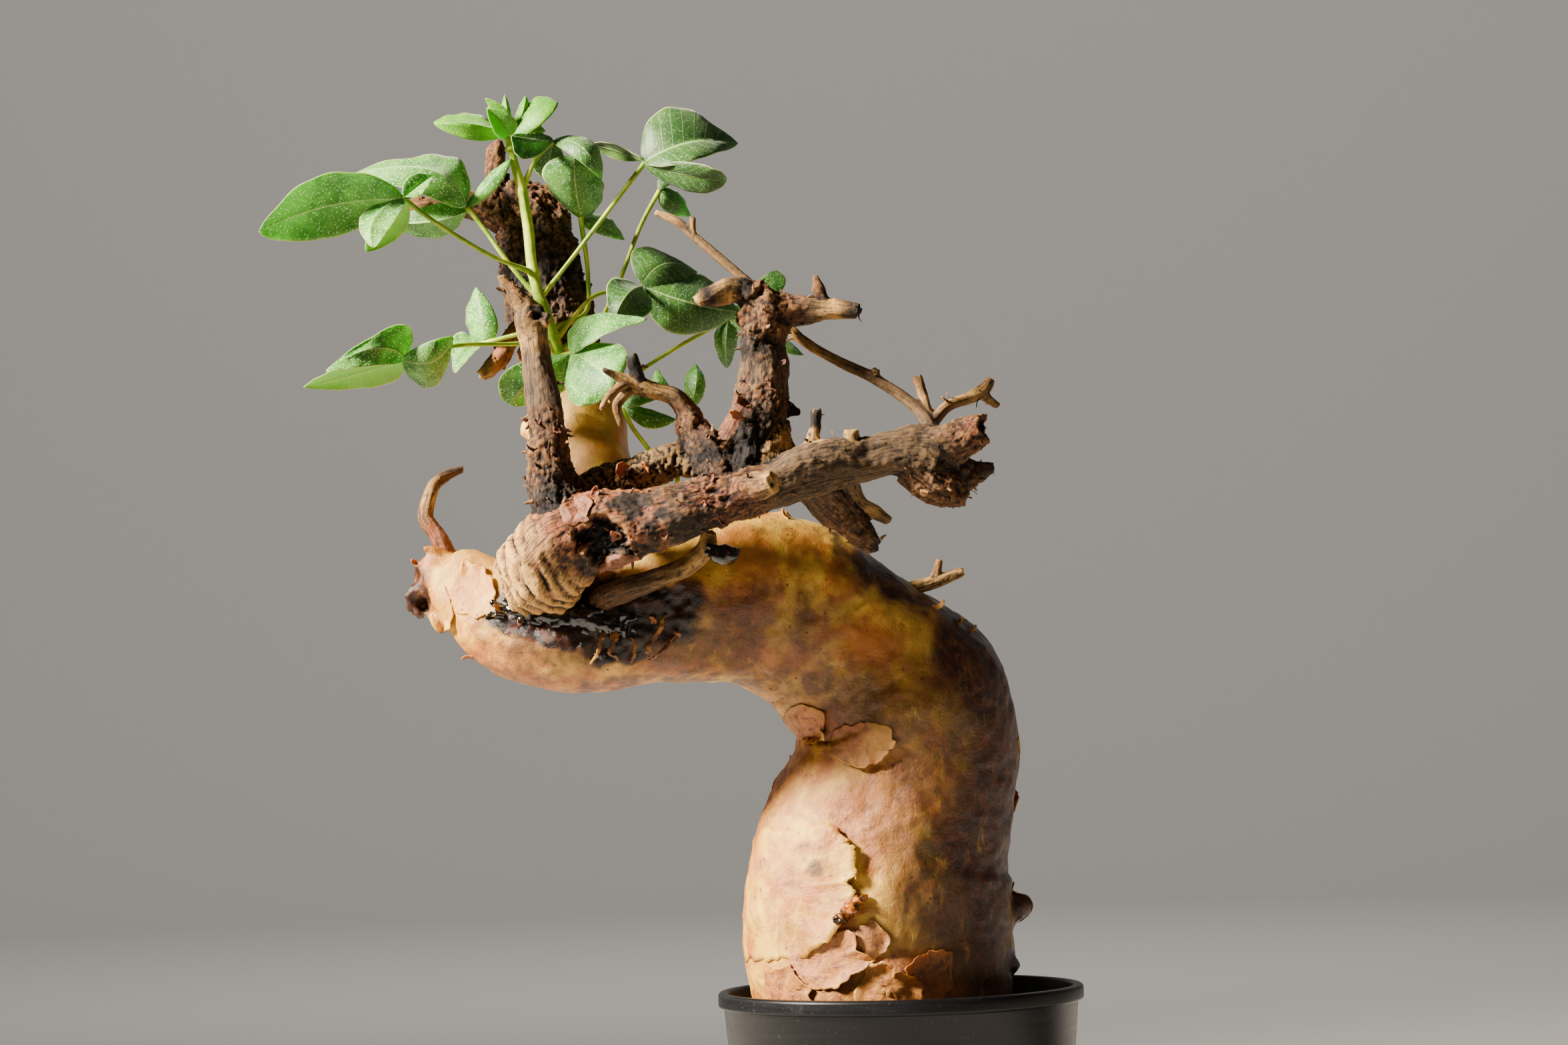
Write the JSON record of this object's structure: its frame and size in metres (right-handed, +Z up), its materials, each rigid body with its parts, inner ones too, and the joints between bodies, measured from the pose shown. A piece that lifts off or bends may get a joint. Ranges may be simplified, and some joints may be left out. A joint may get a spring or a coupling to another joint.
{
  "type": "potted commiphora kataf bonsai",
  "caption": "Potted Commiphora kataf bonsai: swollen peeling caudex bent into a long limb, dead weathered branches and one green leafy shoot, in a round black nursery pot",
  "frame": {"origin": "centre of the pot's flat underside", "axes": "+Z up, the longest extent; +X to the right along the face with the dead branches in front, away from the overhanging limb; +Y away from that face, the shortest extent"},
  "size_m": [0.2602, 0.139, 0.4041],
  "materials": {
    "pot": "satin black moulded plastic with faint scuffs and a rolled lip",
    "soil": "dark gritty mineral potting mix with brown crumbs",
    "bark": "waxy cream and yellow bark, mottled brown, peeling in pinkish tan papery flakes",
    "dead_wood": "weathered grey-brown dead wood with dark cracks, curled bark and lengthwise lines",
    "burnt_wood": "rough dark brown dead wood with crumbly orange-brown patches",
    "green_stem": "smooth yellow-green living stem",
    "leaf": "velvety green leaf with silvery hairs and a pale raised midrib",
    "young_leaf": "bright yellow-green young leaf",
    "resin": "set resin, glossy black with amber edges"
  },
  "bodies": {
    "root": {"pot": "pot", "soil": "soil", "caudex": "bark", "dead_branches": "dead_wood", "rear_dead_top": "burnt_wood", "green_shoot": "green_stem", "apical_tuft": "young_leaf", "leaf_upper_right": "leaf", "leaf_far_left": "leaf", "leaf_arching": "leaf", "leaf_lower_left": "leaf", "leaf_back_left": "leaf", "leaf_centre": "leaf", "leaf_heart": "leaf", "leaf_pale": "leaf", "leaf_behind": "leaf", "leaf_top": "leaf", "leaf_rear_right": "leaf", "rear_shoot": "leaf", "rear_sprig": "leaf", "wound_resin": "resin", "stub_resin": "resin", "base_resin": "resin"}
  },
  "joints": []
}
